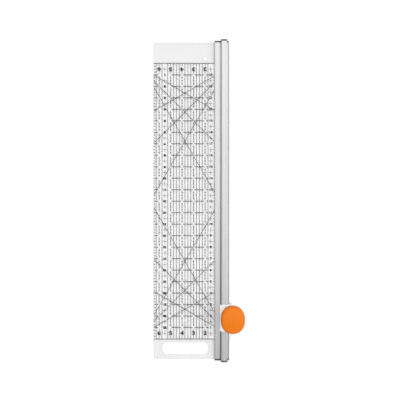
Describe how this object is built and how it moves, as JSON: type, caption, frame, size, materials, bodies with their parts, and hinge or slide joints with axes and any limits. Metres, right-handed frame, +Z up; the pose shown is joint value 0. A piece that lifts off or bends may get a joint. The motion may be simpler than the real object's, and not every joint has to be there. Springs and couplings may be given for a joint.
{
  "type": "ruler cutter",
  "caption": "Clear gridded ruler with an aluminium rail along one edge; a sliding carriage on it holds a rotary blade under a push-down button.",
  "frame": {"origin": "bottom centre of the whole object's box, on the underside of the ruler plate", "axes": "+Y along the rail away from the hand slot, +X from the ruler plate towards the cutting edge, +Z up from the underside towards the button"},
  "size_m": [0.1992, 0.7054, 0.057],
  "materials": {
    "clear_acrylic": "clear, polished",
    "silicone": "matt grey",
    "rail_aluminium": "extruded, clear anodised, fine lengthwise lines",
    "screw_steel": "zinc plated",
    "spring_steel": "drawn wire",
    "blade_steel": "ground",
    "cap_plastic": "dark grey, fine texture",
    "body_plastic": "white, satin",
    "carrier_plastic": "black acetal",
    "nylon": "natural",
    "button_plastic": "orange, smooth"
  },
  "bodies": {
    "ruler": {"ruler_plate": "clear_acrylic", "non_slip_strip": "silicone", "guide_rail": "rail_aluminium", "rail_screws": "screw_steel", "rail_end_cap_far": "cap_plastic", "rail_end_cap_near": "cap_plastic"},
    "carriage": {"carriage_body": "body_plastic", "base_plate": "body_plastic", "base_screws": "screw_steel", "keeper_plate": "cap_plastic", "keeper_screws": "screw_steel", "glide_pads": "nylon", "guide_posts": "screw_steel", "return_springs": "spring_steel"},
    "plunger": {"blade_carrier": "carrier_plastic", "push_button": "button_plastic", "blade_bolt": "screw_steel", "spring_washer": "spring_steel", "flat_washer": "screw_steel", "blade_nut": "screw_steel"},
    "blade": {"rotary_blade": "blade_steel"}
  },
  "joints": [
    {"name": "carriage_slide", "type": "slide", "parent": "ruler", "child": "carriage", "axis": [0, 1, 0], "range_m": [-0.0636, 0.5768]},
    {"name": "button_press", "type": "slide", "parent": "carriage", "child": "plunger", "axis": [0, 0, -1], "range_m": [0, 0.007], "stiffness_N_per_m": 800, "springref_m": -0.005, "deforming": ["return_springs"]},
    {"name": "blade_spin", "type": "hinge", "parent": "plunger", "child": "blade", "pos_m": [0.06725, -0.2566, 0.0295], "axis": [1, 0, 0], "continuous": true}
  ]
}
